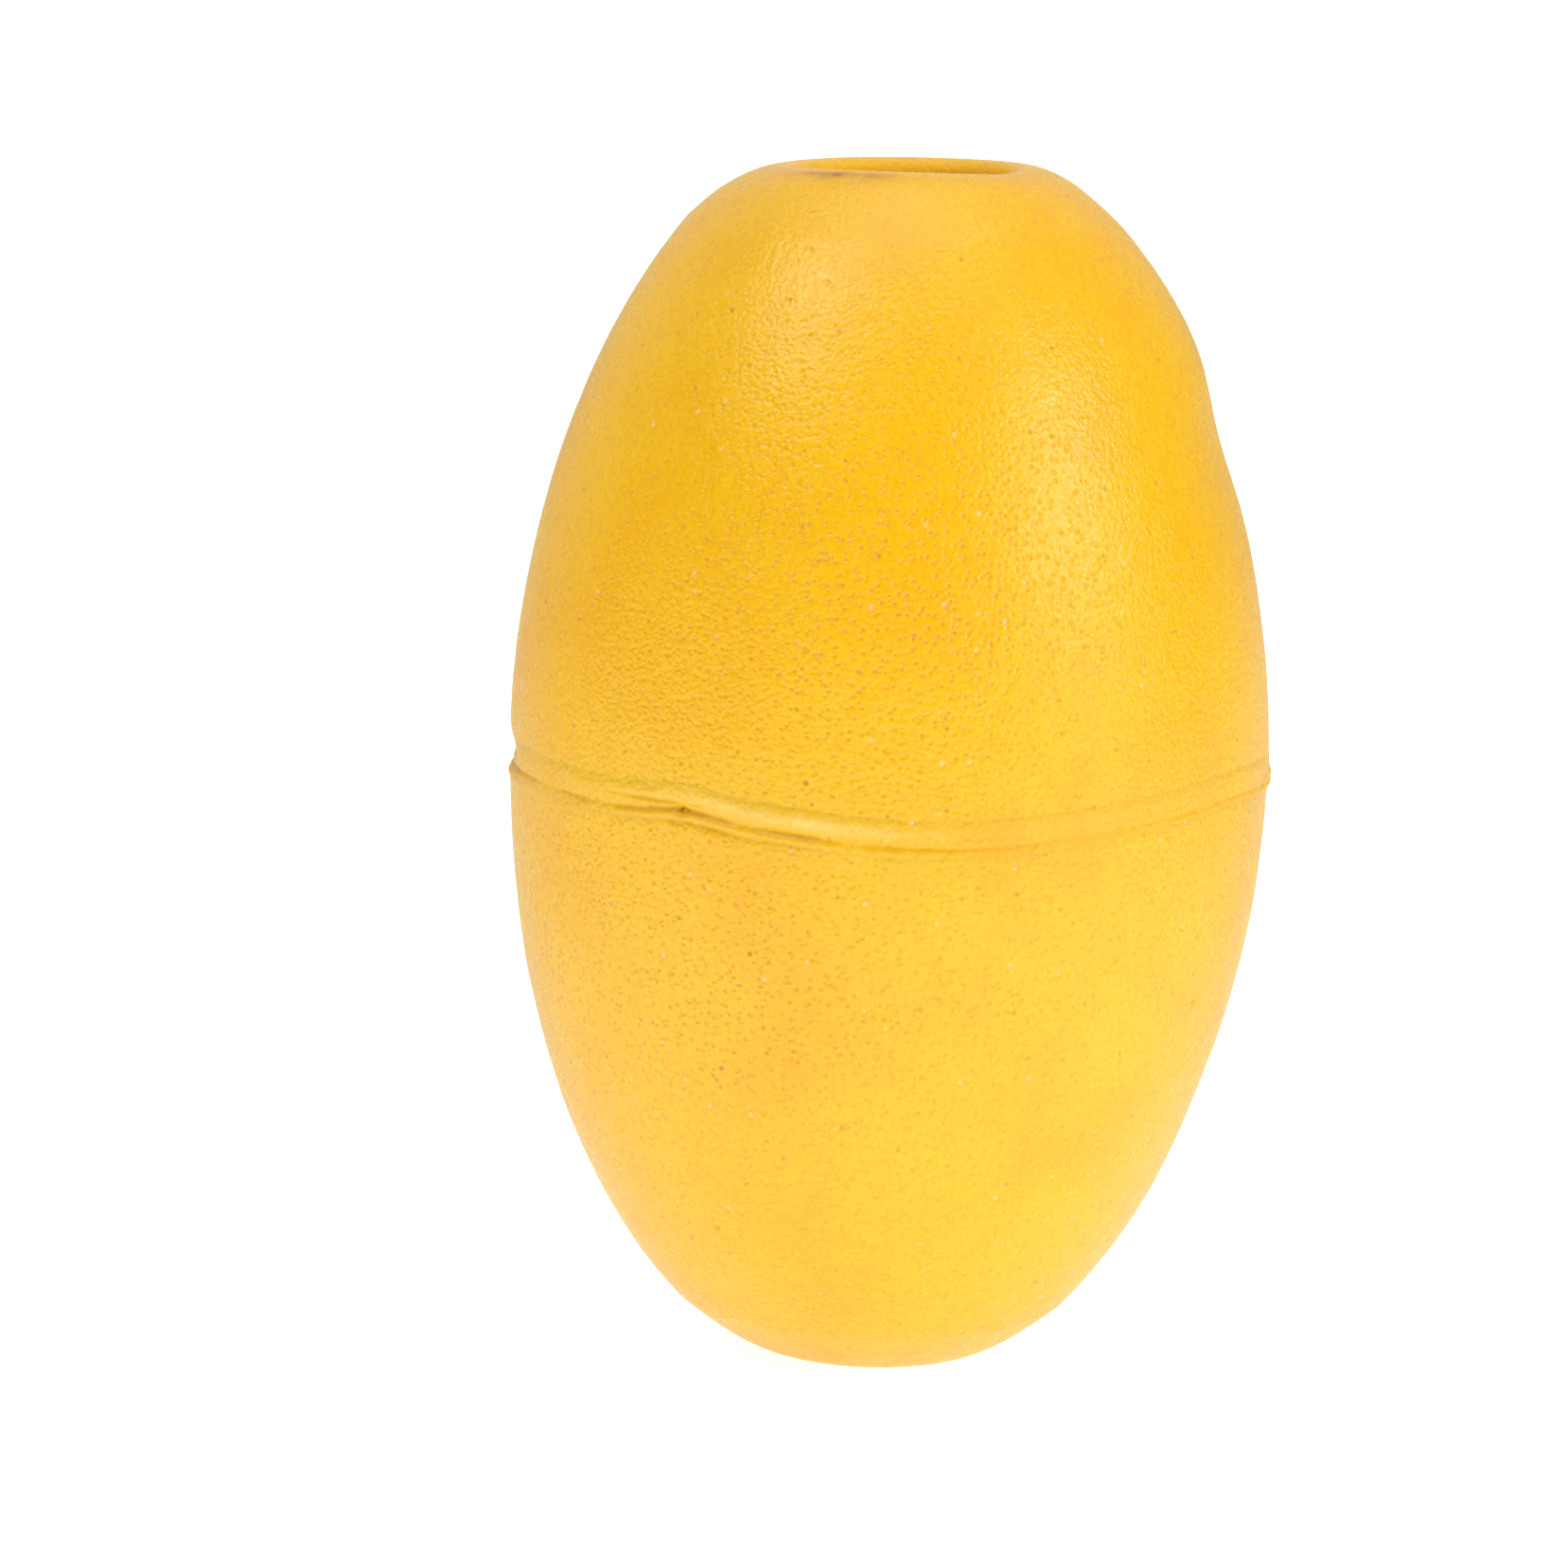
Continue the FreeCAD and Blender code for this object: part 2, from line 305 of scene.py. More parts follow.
@dataclass(frozen=True)
class Form:
    """The float's shape: sizes, seam and unevenness, shared by all three pieces."""

    waist_height: float
    top_height: float
    bore_radius: float
    waist_radius: float = 31.5
    upper_end: EndShape = EndShape(corner=13.3, reach=4.6, crest=10.1)
    lower_end: EndShape = EndShape(corner=11.3, reach=4.6, crest=9.1)
    weld_depth: float = 0.9
    lip: tuple[Wave, ...] = (
        Wave(0, 60, 0.45),
        Wave(180, 75, -0.2),
        Wave(110, 45, 0.22),
        Wave(-110, 45, -0.2),
        Wave(52, 14, -0.08),
    )
    seam: Seam = Seam()
    swells: tuple[Swell, ...] = (
        Swell(88, 87, 34, 7, 0.75),
        Swell(88, 78.5, 34, 5.5, -0.6),
        Swell(88, 56, 36, 15, 0.45),
        Swell(88, 24, 34, 8, -0.2),
        Swell(-88, 58, 34, 8, 0.22),
        Swell(30, 62, 28, 9, 0.12),
        Swell(-30, 66, 22, 9, -0.12),
        Swell(-150, 78, 30, 9, 0.35),
        Swell(150, 70, 26, 8, -0.3),
        Swell(170, 28, 34, 9, 0.3),
        # the notch at the left end of the seam and the lip under it
        Swell(-87, 50.7, 8, 1.2, -0.8),
        Swell(-86, 48.9, 9, 0.5, 0.2),
        # the nub of flash at the right end of the seam
        Swell(91, 50.3, 11, 0.55, 0.3),
        # a nick in the crease and the fold that runs from it
        Swell(-31.2, 50.5, 1.0, 0.4, -0.4),
        Swell(-36, 51.1, 7, 0.22, -0.2),
    )
    lumps: Ripple = Ripple(count=40, shortest=9.0, longest=48.0, height=0.2, seed=11)
    peel: Ripple = Ripple(count=60, shortest=1.6, longest=5.0, height=0.022, seed=5)

    @classmethod
    def from_frame(cls) -> "Form":
        """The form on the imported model's own heights and bore."""
        low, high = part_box("upper_half")
        bore = next(m for m in frame["record"]["mounts"] if m["name"] == "rope_bore")
        return cls(
            waist_height=low.z / MM,
            top_height=high.z / MM,
            bore_radius=bore["dims"]["r_mm"],
        )

    def half_height(self, side: Side) -> float:
        """From the waist plane to the end face, in millimetres."""
        if side is Side.UPPER:
            return self.top_height - self.waist_height
        return self.waist_height

    def end(self, side: Side) -> EndShape:
        """Shape of one half's end."""
        return self.upper_end if side is Side.UPPER else self.lower_end

    def flank_radius(self, heights: np.ndarray) -> np.ndarray:
        """Radius of the even flank: a quarter-ellipse from the waist to each end's edge.

        Args:
            heights: millimetres above the base.

        Returns:
            Radius in millimetres at each height.
        """
        up = np.asarray(heights) - self.waist_height
        spans = {
            side: self.half_height(side)
            / math.sqrt(1.0 - (self.end(side).corner / self.waist_radius) ** 2)
            for side in Side
        }
        span = np.where(up > 0, spans[Side.UPPER], spans[Side.LOWER])
        return self.waist_radius * np.sqrt(np.maximum(1.0 - (up / span) ** 2, 0.0))

    def unevenness(self, angles: np.ndarray, radii: np.ndarray, heights: np.ndarray) -> np.ndarray:
        """Lumps and orange peel of the moulded foam, in millimetres outwards.

        Args:
            angles: degrees round the axis.
            radii: even radius of the surface, in millimetres.
            heights: millimetres above the base.

        Returns:
            Millimetres, of the arrays' common shape.
        """
        points = round_points(angles, radii, heights)
        return self.lumps.over(points) + self.peel.over(points)

    def outside(self, angles: np.ndarray, heights: np.ndarray, offsets: np.ndarray) -> np.ndarray:
        """Radius of the finished flank: the even one, its unevenness, swells and seam.

        Args:
            angles: degrees round the axis.
            heights: millimetres above the base.
            offsets: millimetres above the seam line.

        Returns:
            Radius in millimetres.
        """
        even = self.flank_radius(heights)
        local = sum(swell.over(angles, heights) for swell in self.swells)
        rough = self.unevenness(angles, even, heights)
        return even + rough + local + self.seam.relief(angles, offsets)


def round_points(angles: np.ndarray, radii: np.ndarray, heights: np.ndarray) -> np.ndarray:
    """Places: x is r sin a, y is -r cos a, for the angle a from the front.

    Args:
        angles: degrees round the axis.
        radii: distance from the axis.
        heights: distance above the base, in the same unit.

    Returns:
        Array with x, y, z as its last axis, in the unit of the radii.
    """
    turns = np.radians(angles)
    shape = np.broadcast(turns, radii, heights).shape
    parts = (radii * np.sin(turns), -radii * np.cos(turns), heights)
    return np.stack([np.broadcast_to(part, shape) for part in parts], axis=-1)


# ---------------------------------------------------------------------------------------
# Meshes
# ---------------------------------------------------------------------------------------


def column_angles(columns: int) -> np.ndarray:
    """Angle of each column, in degrees, as one row."""
    return np.arange(columns)[None, :] * (360.0 / columns)


@dataclass
class WallGrid:
    """A closed wall as a grid: rows go along its outline, columns round the axis.

    Both ways wrap, so the surface has no edge. Radii and heights are in millimetres. Paint
    holds named values for the materials. The outline runs up the outside, or down it where
    downward is set, which turns the faces so that they still point outwards.
    """

    radii: np.ndarray
    heights: np.ndarray
    paint: dict[str, np.ndarray]
    downward: bool = False

    def outline_shares(self) -> np.ndarray:
        """How far along the closed outline each row is, from 0 to 1, measured at the front."""
        steps_out = np.diff(self.radii[:, 0], append=self.radii[0, 0])
        steps_up = np.diff(self.heights[:, 0], append=self.heights[0, 0])
        lengths = np.hypot(steps_out, steps_up)
        return np.concatenate([[0.0], np.cumsum(lengths)]) / lengths.sum()

    def build(self, name: str) -> bpy.types.Object:
        """Makes the mesh, its map and its paint, and an object that holds them.

        The map's u is the share of a turn, and its v the share of the outline.

        Args:
            name: name of the new object and its mesh.

        Returns:
            The object, linked to the scene.
        """
        rows, columns = self.radii.shape
        row, column = np.mgrid[0:rows, 0:columns]
        corners = [(row, column), (row, column + 1), (row + 1, column + 1), (row + 1, column)]
        if self.downward:
            corners = corners[::-1]
        faces = np.stack([(r % rows) * columns + c % columns for r, c in corners], axis=-1)
        shares = self.outline_shares()
        places = [(c / columns, shares[r]) for r, c in corners]
        chart = np.stack([np.stack(place, axis=-1) for place in places], axis=-2)
        points = round_points(column_angles(columns), self.radii, self.heights) * MM

        mesh = bpy.data.meshes.new(name)
        mesh.vertices.add(rows * columns)
        mesh.vertices.foreach_set("co", points.astype(np.float32).ravel())
        mesh.loops.add(faces.size)
        mesh.loops.foreach_set("vertex_index", faces.astype(np.int32).ravel())
        mesh.polygons.add(rows * columns)
        mesh.polygons.foreach_set("loop_start", np.arange(0, faces.size, 4, dtype=np.int32))
        mesh.polygons.foreach_set("use_smooth", np.ones(rows * columns, dtype=bool))
        mesh.update(calc_edges=True)
        layer = mesh.uv_layers.new(name="OFBake")
        layer.data.foreach_set("uv", chart.astype(np.float32).ravel())
        for key, values in self.paint.items():
            attribute = mesh.attributes.new(key, "FLOAT", "POINT")
            flat = np.broadcast_to(values, (rows, columns)).astype(np.float32)
            attribute.data.foreach_set("value", flat.ravel())
        mesh.validate()
        piece = bpy.data.objects.new(name, mesh)
        bpy.context.scene.collection.objects.link(piece)
        LOG.info("%s: %d faces", name, len(mesh.polygons))
        return piece


@dataclass(frozen=True)
class RimMark:
    """A mark that runs round the upper mouth along one row of its rounding.

    Rows are counted inwards from the crest. The mark is strongest at one angle, and falls
    to its least share away from it.
    """

    row: float
    spread_rows: float
    angle: float
    spread_angle: float
    least: float = 0.0

    def over(self, rows: np.ndarray, angles: np.ndarray) -> np.ndarray:
        """Strength at each row from the crest and each angle, from 0 to 1."""
        local = bell_round(angles, self.angle, self.spread_angle)
        around = self.least + (1.0 - self.least) * local
        return bell(rows, self.row, self.spread_rows) * around


# How thickly the pores stand on each half: the least, and the places where they are thicker.
PORES = {
    Side.UPPER: (0.2, (Swell(0, 68, 44, 18, 0.8), Swell(165, 60, 40, 26, 0.35))),
    Side.LOWER: (0.45, (Swell(-18, 33, 34, 13, 0.4), Swell(165, 0, 40, math.inf, 0.1))),
}


@dataclass
class HalfMoulding:
    """One moulded half of the float: flank, blunt end, mouth, and its half of the bore."""

    form: Form
    side: Side
    columns: int = 480
    flank_rows: int = 130
    round_rows: int = 16
    mouth_rows: int = 14
    bore_rows: int = 24
    joint_rows: int = 6
    crowding: float = 1.5
    seam_follow: float = 24.0  # how far from the seam the rows still bend with it
    joint_follow: float = 20.0  # how far from the joint the bore's rows still bend with it
    lip_reach: float = 3.0  # how far down from the end the rows still follow the lip's waves
    raw_rows: tuple[float, float] = (3.0, 9.0)  # where skin gives way to raw foam, from the crest
    end_pores: float = 0.15
    # a brown band round the end's outer rounding, a few rows short of the crest, strongest at the
    # front left
    rim_band: RimMark = RimMark(-4.6, 1.8, -27.0, 19.0, least=0.12)
    # painted highlight along the crest of the mouth's rounding
    mark_strength: RimMark = RimMark(-0.5, 1.3, -22.0, 26.0)

    @property
    def node(self) -> str:
        """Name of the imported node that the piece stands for."""
        return "upper_half" if self.side is Side.UPPER else "lower_half"

    @property
    def seam_edge(self) -> float:
        """Offset from the seam line to this half's edge of the weld's roll."""
        seam = self.form.seam
        return seam.upper_edge if self.side is Side.UPPER else seam.lower_edge

    def flank_heights(self) -> np.ndarray:
        """Even height of each of the flank's rows, from the seam's edge to the end.

        Rows crowd towards the seam: the way up grows as a power of the row's share.
        """
        form = self.form
        first = abs(self.seam_edge)
        last = form.half_height(self.side) - form.end(self.side).reach
        share = np.linspace(0.0, 1.0, self.flank_rows)
        up = first + (last - first) * share**self.crowding
        return form.waist_height + self.side.value * np.insert(up, 1, first + EDGE_GUARD)

    def end_outline(self, start_radius: float, start_up: float) -> tuple[np.ndarray, np.ndarray]:
        """The end's outline: outer rounding up to the crest, mouth, then bore to the waist.

        The outer rounding is a quadratic Bezier curve, whose middle point is the corner of
        flank and end face. The mouth's rounding is a quarter circle.

        Args:
            start_radius: the flank's radius at its last row.
            start_up: that row's distance from the waist plane.

        Returns:
            Radius and distance from the waist plane of each row, in millimetres.
        """
        form = self.form
        span, end = form.half_height(self.side), form.end(self.side)
        t = np.linspace(0.0, 1.0, self.round_rows + 1)[1:]
        bend = (1 - t) ** 2 * start_radius + 2 * t * (1 - t) * end.corner + t**2 * end.crest
        bend_up = (1 - t) ** 2 * start_up + 2 * t * (1 - t) * span + t**2 * span
        mouth_round = end.crest - form.bore_radius
        turn = np.linspace(0.0, math.pi / 2, self.mouth_rows + 1)[1:]
        mouth = end.crest - mouth_round * np.sin(turn)
        mouth_up = span - mouth_round * (1.0 - np.cos(turn))
        bore_up = np.linspace(mouth_up[-1], 0.0, self.bore_rows + 1)[1:]
        radii = [bend, mouth, np.full(self.bore_rows, form.bore_radius)]
        return np.concatenate(radii), np.concatenate([bend_up, mouth_up, bore_up])

    def grid(self) -> WallGrid:
        """The half's wall: its even outline, bent along the seam and roughened."""
        form, seam, sign = self.form, self.form.seam, self.side.value
        angles = column_angles(self.columns)
        lift = seam.height(angles)
        even = self.flank_heights()[:, None]
        away = abs(even - form.waist_height) - abs(self.seam_edge)
        heights = even + lift * (1.0 - smooth_step(away, 0.0, self.seam_follow))
        offsets = heights - form.waist_height - lift
        radii = form.outside(angles, heights, offsets)

        last_even = form.flank_radius(even[-1, 0])
        end_radii, ups = self.end_outline(float(last_even), abs(even[-1, 0] - form.waist_height))
        bulge = radii[-1:] - form.flank_radius(heights[-1:])
        carried = smooth_step(end_radii, form.bore_radius, end_radii[0])[:, None]
        end_heights = form.waist_height + sign * ups[:, None]
        roughness = form.peel.over(round_points(angles, end_radii[:, None], end_heights))
        end_radii = end_radii[:, None] + bulge * carried + roughness * carried

        if self.side is Side.UPPER:
            span = form.half_height(self.side)
            near_lip = smooth_step(ups, span - self.lip_reach, span)[:, None]
            end_heights = end_heights + summed(form.lip, angles) * near_lip

        joint = form.waist_height + lift + seam.middle
        down_bore = smooth_step(-ups, -self.joint_follow, 0.0)[:, None]
        end_heights = end_heights + (joint - form.waist_height) * down_bore

        inner = np.linspace(form.bore_radius, form.waist_radius - form.weld_depth, self.joint_rows)
        joint_radii = np.broadcast_to(inner[1:, None], (self.joint_rows - 1, self.columns))
        joint_heights = np.broadcast_to(joint, joint_radii.shape)
        return WallGrid(
            np.concatenate([radii, end_radii, joint_radii]),
            np.concatenate([heights, end_heights, joint_heights]),
            self.paint(angles, heights, offsets, ups, joint_radii.shape),
            downward=self.side is Side.LOWER,
        )

    def paint(
        self,
        angles: np.ndarray,
        heights: np.ndarray,
        offsets: np.ndarray,
        ups: np.ndarray,
        joint_shape: tuple[int, int],
    ) -> dict[str, np.ndarray]:
        """Values that the foam's material reads at each point, from 0 to 1.

        Args:
            angles: degrees round the axis, for each column.
            heights: millimetres above the base, over the flank.
            offsets: millimetres above the seam line, over the flank.
            ups: distance of each end row from the waist plane.
            joint_shape: rows and columns of the joint face.

        Returns:
            crease (painted shade in and below the seam's creases), a brown band just short
            of the mouth's crest, the painted highlight along the crest, pores (how thickly the
            skin is pored), and bore (how raw the foam is, down the bore).
        """
        flank, joint = heights.shape, np.zeros(joint_shape)
        end = (len(ups), self.columns)
        crease = np.broadcast_to(self.form.seam.shade(angles, offsets), flank)
        least, thicker = PORES[self.side]
        thick = sum((swell.over(angles, heights) for swell in thicker), least)
        rows_in = np.arange(len(ups))[:, None] - self.round_rows
        raw = smooth_step(np.broadcast_to(rows_in, end), *self.raw_rows)
        # pale holds the painted highlight along the mouth's crest
        rim_band, pale = np.zeros(end), np.zeros(end)
        if self.side is Side.UPPER:
            rim_band, pale = (mark.over(rows_in, angles) for mark in (self.rim_band, self.mark_strength))
        return {
            "bore": np.concatenate([np.zeros(flank), raw, joint]),
            "crease": np.concatenate([crease, np.zeros(end), joint]),
            "rim_band": np.concatenate([np.zeros(flank), rim_band, joint]),
            "ridge_highlight": np.concatenate([np.zeros(flank), pale, joint]),
            "pores": np.concatenate([thick, np.full(end, self.end_pores), joint]),
        }

    def build(self) -> bpy.types.Object:
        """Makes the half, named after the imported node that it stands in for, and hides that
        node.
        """
        piece = self.grid().build(f"{self.node}_foam")
        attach(piece, "root")
        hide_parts(self.node)
        return piece


@dataclass
class WeldBand:
    """The roll of melted foam round the waist, from one half's edge to the other's."""

    form: Form
    columns: int = 1440
    rows: int = 46
    crumbs: Ripple = Ripple(count=60, shortest=0.5, longest=2.0, height=0.07, seed=23)
    crumb_least: float = 0.35
    crumb_fade: float = 1.2  # product of the distances to both edges at which crumbs are full
    # painted highlight along the crest of the upper roll: where it lies, its spread, and how it
    # varies round the axis
    highlight_offset: float = 1.2
    highlight_spread: float = 0.55
    highlight_round: Wave = Wave(-14, 19, 1.0)
    highlight_least: float = 0.15
    pores: float = 0.35

    def grid(self) -> WallGrid:
        """The band's wall: up its outside, then in along the halves' bevels and back."""
        form, seam = self.form, self.form.seam
        angles = column_angles(self.columns)
        lift = seam.height(angles)
        even = np.linspace(seam.lower_edge, seam.upper_edge, self.rows)
        guards = [seam.lower_edge + EDGE_GUARD, seam.upper_edge - EDGE_GUARD]
        offsets = np.sort(np.append(even, guards))[:, None]
        heights = form.waist_height + lift + offsets
        points = round_points(angles, form.flank_radius(heights), heights)
        inside = (offsets - seam.lower_edge) * (seam.upper_edge - offsets)
        shade = seam.shade(angles, offsets)
        mark_strength = smooth_step(inside, 0.0, self.crumb_fade) * (self.crumb_least + shade)
        radii = form.outside(angles, heights, offsets) + self.crumbs.over(points) * mark_strength
        middle = form.waist_height + lift + seam.middle
        deep = np.full((1, self.columns), form.waist_radius - form.weld_depth)
        # pale is painted highlight along the crest of the upper roll
        pale = bell(offsets, self.highlight_offset, self.highlight_spread)
        pale = pale * np.maximum(summed((self.highlight_round,), angles), self.highlight_least)
        bare = np.zeros_like(deep)
        return WallGrid(
            np.concatenate([radii, deep]),
            np.concatenate([heights, middle]),
            {
                "crease": np.concatenate([shade, bare]),
                "ridge_highlight": np.concatenate([pale, bare]),
                "pores": np.full((len(offsets) + 1, self.columns), self.pores),
            },
        )

    def build(self) -> bpy.types.Object:
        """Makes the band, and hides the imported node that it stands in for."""
        piece = self.grid().build("weld_bead_roll")
        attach(piece, "root")
        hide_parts("weld_bead")
        return piece


# ---------------------------------------------------------------------------------------
# Finishes
# ---------------------------------------------------------------------------------------


def linear(hex_colour: str) -> tuple[float, float, float, float]:
    """Turns an sRGB hex colour such as "#F2B81E" into linear red, green, blue and alpha."""
    parts = [int(hex_colour[i : i + 2], 16) / 255.0 for i in (1, 3, 5)]
    curved = [p / 12.92 if p <= 0.04045 else ((p + 0.055) / 1.055) ** 2.4 for p in parts]
    return (*curved, 1.0)


def per_metre(size_mm: float) -> float:
    """Texture scale on Object coordinates whose cells or waves are this many millimetres."""
    return 1.0 / (size_mm * MM)


def add_node(
    tree: NodeTree, kind: str, inputs: dict[Any, Any] | None = None, **settings: Any
) -> bpy.types.Node:
    """Adds a node with its settings and links.

    Args:
        tree: the material's or world's node tree.
        kind: Blender's name of the node type.
        inputs: for an input's name or number, its value or the socket that feeds it.
        settings: attributes of the node, set before its inputs.

    Returns:
        The node.
    """
    node = tree.nodes.new(kind)
    for name, value in settings.items():
        setattr(node, name, value)
    for key, value in (inputs or {}).items():
        if isinstance(value, NodeSocket):
            tree.links.new(value, node.inputs[key])
        else:
            node.inputs[key].default_value = value
    return node


def new_material(name: str) -> tuple[Material, NodeTree]:
    """A material with an empty node tree."""
    material = bpy.data.materials.new(name)
    material.use_nodes = True
    material.node_tree.nodes.clear()
    return material, material.node_tree


def maths(tree: NodeTree, operation: str, *values: float | NodeSocket) -> NodeSocket:
    """Adds one step of arithmetic.

    Args:
        tree: the node tree.
        operation: Blender's name of the operation.
        values: its operands, each a number or a socket.

    Returns:
        Socket with the result.
    """
    operands = dict(enumerate(values))
    return add_node(tree, "ShaderNodeMath", operands, operation=operation).outputs[0]


def mapped(
    tree: NodeTree,
    value: NodeSocket,
    source: tuple[float, float],
    target: tuple[float, float] = (0.0, 1.0),
    curve: str = "LINEAR",
) -> NodeSocket:
    """Maps a value from one range onto another, and keeps it inside.

    Args:
        tree: the node tree.
        value: the value to map.
        source: the two ends of its own range.
        target: what it becomes at each of them.
        curve: Blender's name of the way between them.

    Returns:
        Socket with the new value.
    """
    ends = {"From Min": source[0], "From Max": source[1], "To Min": target[0], "To Max": target[1]}
    settings = {"interpolation_type": curve}
    node = add_node(tree, "ShaderNodeMapRange", {"Value": value, **ends}, **settings)
    return node.outputs["Result"]


def noise(
    tree: NodeTree, place: NodeSocket, size_mm: float, detail: float, roughness: float = 0.5
) -> NodeSocket:
    """Adds cloudy noise.

    Args:
        tree: the node tree.
        place: coordinates, in metres.
        size_mm: size of its largest clouds, in millimetres.
        detail: how many finer layers it has.
        roughness: how strong each finer layer is beside the one before.

    Returns:
        Socket with a value from 0 to 1.
    """
    inputs = {"Scale": per_metre(size_mm), "Detail": detail, "Roughness": roughness}
    return add_node(tree, "ShaderNodeTexNoise", {"Vector": place, **inputs}).outputs["Fac"]


def tinted(tree: NodeTree, share: NodeSocket, colour: NodeSocket, tint: str) -> NodeSocket:
    """Mixes a tint into a colour.

    Args:
        tree: the node tree.
        share: how much of the tint there is, from 0 to 1.
        colour: colour so far.
        tint: sRGB hex colour.

    Returns:
        Socket with the new colour.
    """
    inputs = {0: share, 6: colour, 7: linear(tint)}
    return add_node(tree, "ShaderNodeMix", inputs, data_type="RGBA").outputs[2]


def paint_value(tree: NodeTree, name: str) -> NodeSocket:
    """Socket with one of the values of the meshes' paint, or 0 where a mesh has none."""
    return add_node(tree, "ShaderNodeAttribute", attribute_name=name).outputs["Fac"]


@dataclass(frozen=True)
class Pits:
    """One set of round pits in the skin, in millimetres.

    Spacing is the size of a cell in space: a pit shows where the skin cuts a ball at a
    cell's middle, so pits on the skin stand wider apart than that. Share is how many cells
    have a ball, or where it is 1, every cell has one, and the skin's pores only deepen it.
    """

    spacing: float
    radius: float
    depth: float
    share: float
    colour: str
    strength: float
    flat: float = 0.1  # how much of the radius is flat, at the bottom


@dataclass(frozen=True)
class Layer:
    """Colour laid over the skin where one of the paint's values says so.

    Its strength varies in patches, from the least share of the most up to the most.
    """

    value: str
    tint: str
    most: float
    least_share: float


@dataclass(frozen=True)
class Speck:
    """A brown speck burnt or pressed into the skin: its place and radius."""

    angle: float
    height: float
    radius: float
    strength: float = 0.6


SPECKS = (
    Speck(-12.6, 88.8, 0.26),
    Speck(-38.1, 89.6, 0.24),
    Speck(-11.7, 53.8, 0.28, 0.8),
    Speck(-22.0, 43.3, 0.26),
    Speck(-32.3, 14.3, 0.24),
    Speck(41.7, 9.5, 0.24),
    Speck(-25.5, 29.3, 0.24, 0.8),
    Speck(-26.6, 28.2, 0.2, 0.7),
    Speck(-26.0, 27.6, 0.16, 0.6),
    Speck(-29.6, 30.6, 0.2, 0.5),
    Speck(-31.0, 28.6, 0.16, 0.5),
    Speck(-13.1, 31.5, 0.22, 0.7),
    Speck(-13.6, 32.4, 0.18, 0.6),
    Speck(-12.4, 30.6, 0.18, 0.7),
    Speck(-5.3, 25.1, 0.26, 0.5),
    Speck(-31.5, 12.0, 0.2, 0.5),
    Speck(9.0, 36.5, 0.22, 0.45),
    Speck(-41.0, 24.5, 0.2, 0.45),
)


